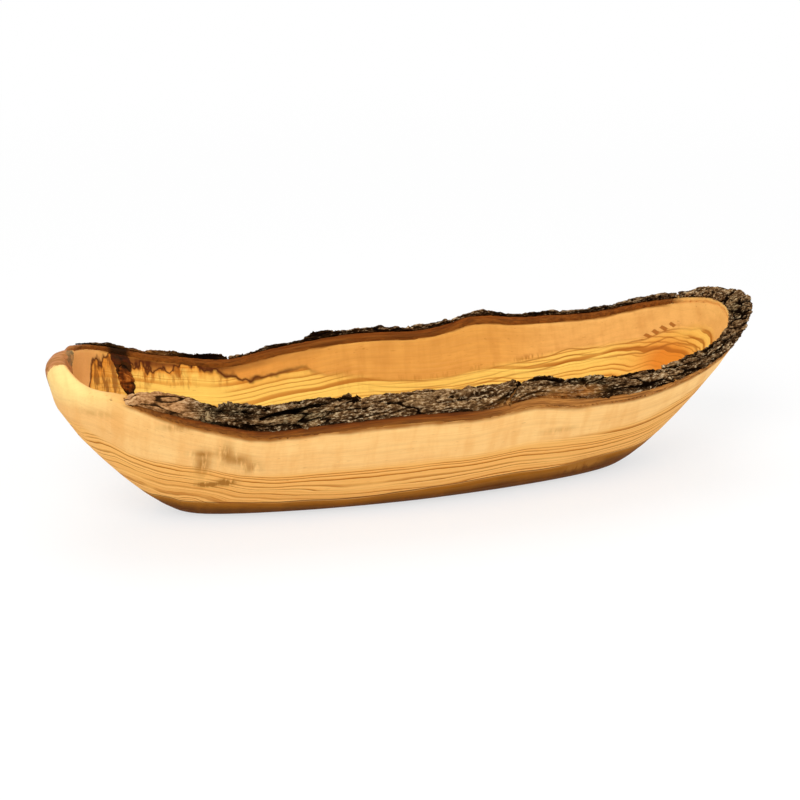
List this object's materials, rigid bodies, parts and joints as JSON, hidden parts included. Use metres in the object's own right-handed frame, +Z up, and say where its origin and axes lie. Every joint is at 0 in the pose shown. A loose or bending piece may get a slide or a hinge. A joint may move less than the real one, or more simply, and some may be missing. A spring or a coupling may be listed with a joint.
{
  "type": "bark-edged wood bowl",
  "caption": "Long boat-shaped bowl carved from half a log, with the rough bark left on round its rim and one bare rounded end; holds fruit or bread.",
  "frame": {"origin": "middle of the flat base that the bowl rests on", "axes": "+X along the bowl towards the end that the bark wraps round, +Y across it to the side with the thin bark, +Z up out of the opening"},
  "size_m": [0.3948, 0.1207, 0.0935],
  "materials": {
    "olive_wood": "oiled satin",
    "inner_bark": "oiled satin",
    "outer_bark": "raw, rough",
    "ingrown_bark": "satin"
  },
  "bodies": {
    "root": {"wood_body": "olive_wood", "bark_seam": "ingrown_bark", "near_inner_bark": "inner_bark", "far_inner_bark": "inner_bark", "near_tip_bark": "outer_bark", "near_left_bark": "outer_bark", "near_middle_bark": "outer_bark", "near_right_bark": "outer_bark", "right_end_bark": "outer_bark", "far_right_bark": "outer_bark", "far_middle_bark": "outer_bark", "far_thin_bark": "outer_bark", "far_left_bark": "outer_bark", "far_tip_bark": "outer_bark"}
  },
  "joints": []
}
